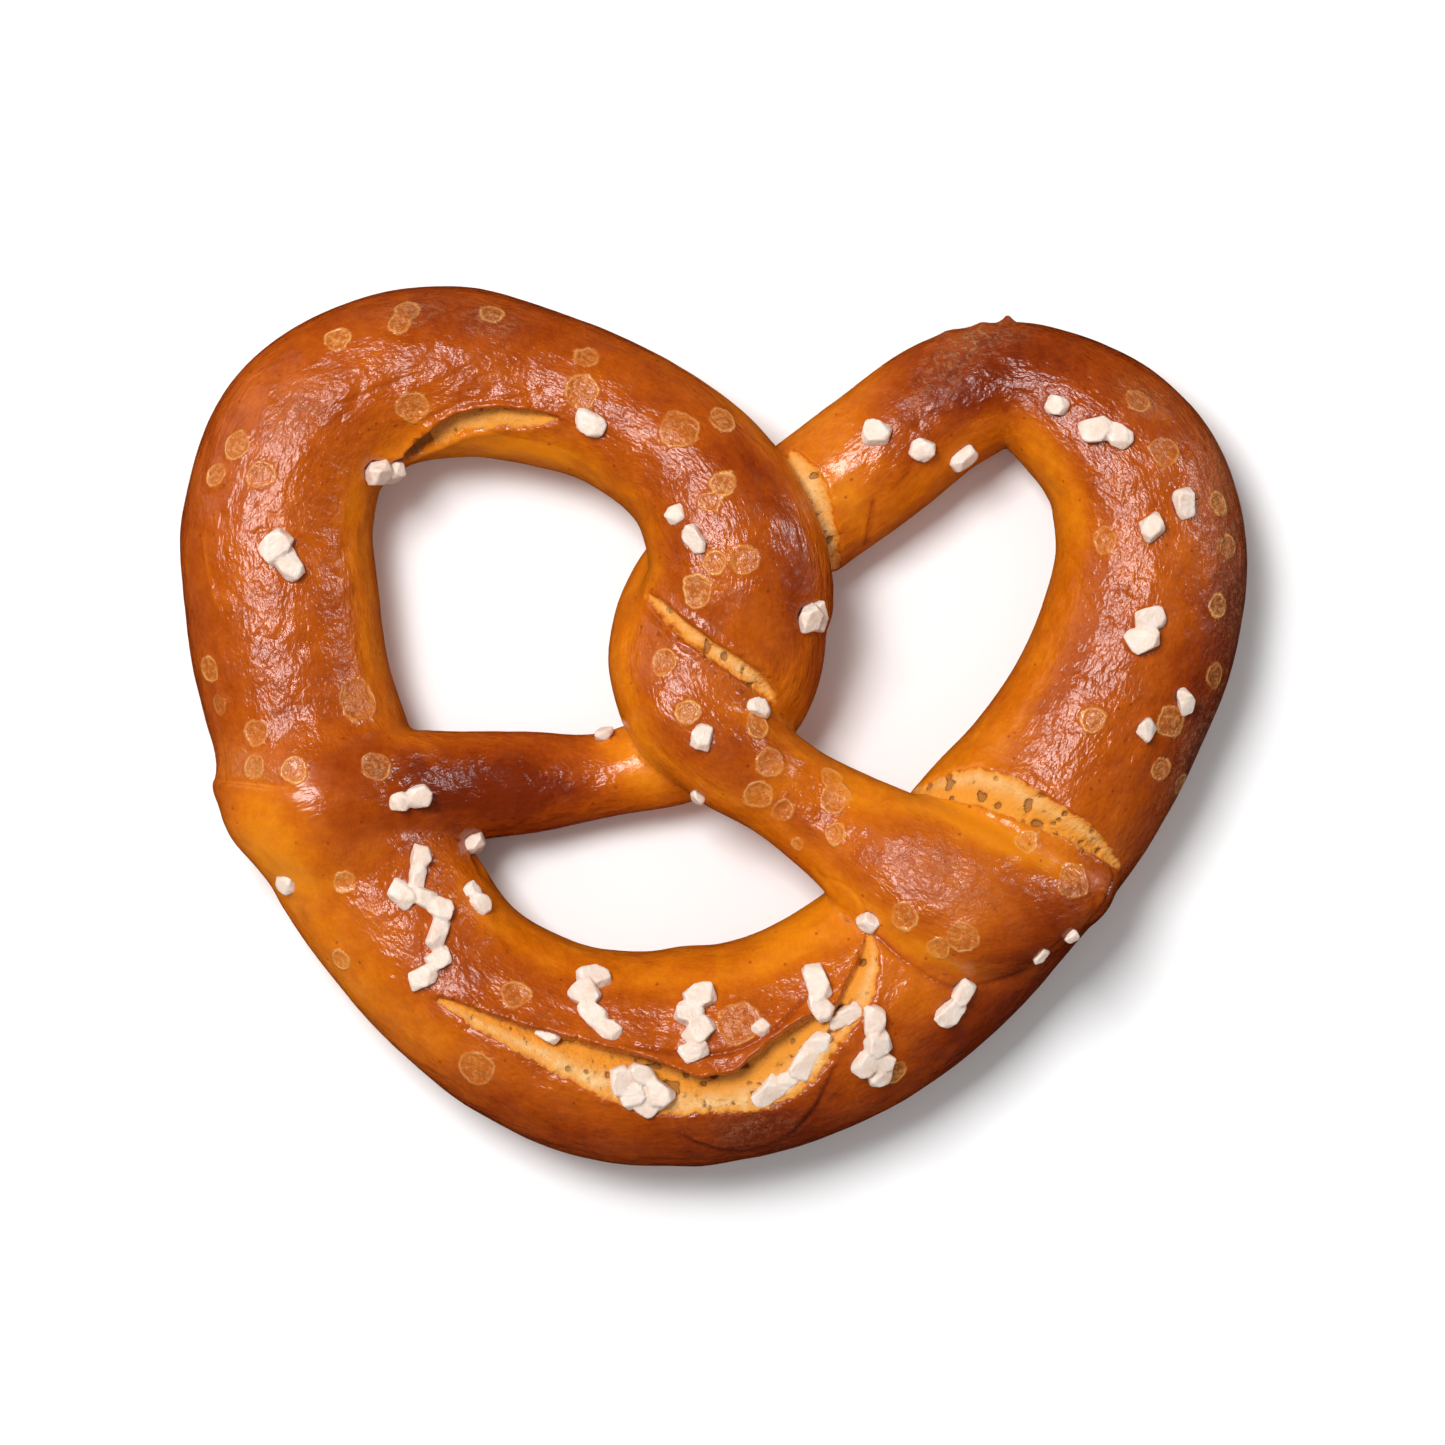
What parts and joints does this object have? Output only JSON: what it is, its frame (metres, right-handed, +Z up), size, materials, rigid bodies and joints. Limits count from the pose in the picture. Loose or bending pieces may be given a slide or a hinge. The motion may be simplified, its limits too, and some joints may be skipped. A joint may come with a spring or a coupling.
{
  "type": "soft pretzel",
  "caption": "Baked soft pretzel lying flat: one rope of dough in two loops with a full twist, its arms baked onto the loops, and coarse salt pressed into a glossy crust.",
  "frame": {"origin": "on the plane the pretzel rests on, under the middle of its outline", "axes": "+X across both loops, towards the loop that the longer arm is baked onto; +Y from the thick belly towards the tops of the loops; +Z up, out of the salted side"},
  "size_m": [0.15, 0.1238, 0.0274],
  "materials": {
    "baked_crust": "glossy chestnut-brown baked crust, with pale crumb in the splits",
    "coarse_salt": "white, slightly see-through coarse salt"
  },
  "bodies": {
    "root": {"pretzel_dough": "baked_crust", "salt_clump_01": "coarse_salt", "salt_clump_02": "coarse_salt", "salt_grain_03": "coarse_salt", "salt_grain_04": "coarse_salt", "salt_grain_05": "coarse_salt", "salt_clump_06": "coarse_salt", "salt_grain_07": "coarse_salt", "salt_grain_08": "coarse_salt", "salt_grain_09": "coarse_salt", "salt_grain_10": "coarse_salt", "salt_clump_11": "coarse_salt", "salt_grain_12": "coarse_salt", "salt_grain_13": "coarse_salt", "salt_grain_14": "coarse_salt", "salt_clump_15": "coarse_salt", "salt_clump_16": "coarse_salt", "salt_clump_17": "coarse_salt", "salt_grain_18": "coarse_salt", "salt_clump_19": "coarse_salt", "salt_clump_20": "coarse_salt", "salt_grain_21": "coarse_salt", "salt_clump_22": "coarse_salt", "salt_clump_23": "coarse_salt", "salt_clump_24": "coarse_salt", "salt_clump_25": "coarse_salt", "salt_clump_26": "coarse_salt", "salt_grain_27": "coarse_salt", "salt_grain_28": "coarse_salt", "salt_grain_29": "coarse_salt", "salt_grain_30": "coarse_salt", "salt_grain_31": "coarse_salt", "salt_grain_32": "coarse_salt", "salt_clump_33": "coarse_salt", "salt_grain_34": "coarse_salt", "salt_grain_35": "coarse_salt", "salt_clump_36": "coarse_salt", "salt_grain_37": "coarse_salt", "salt_grain_38": "coarse_salt"}
  },
  "joints": []
}
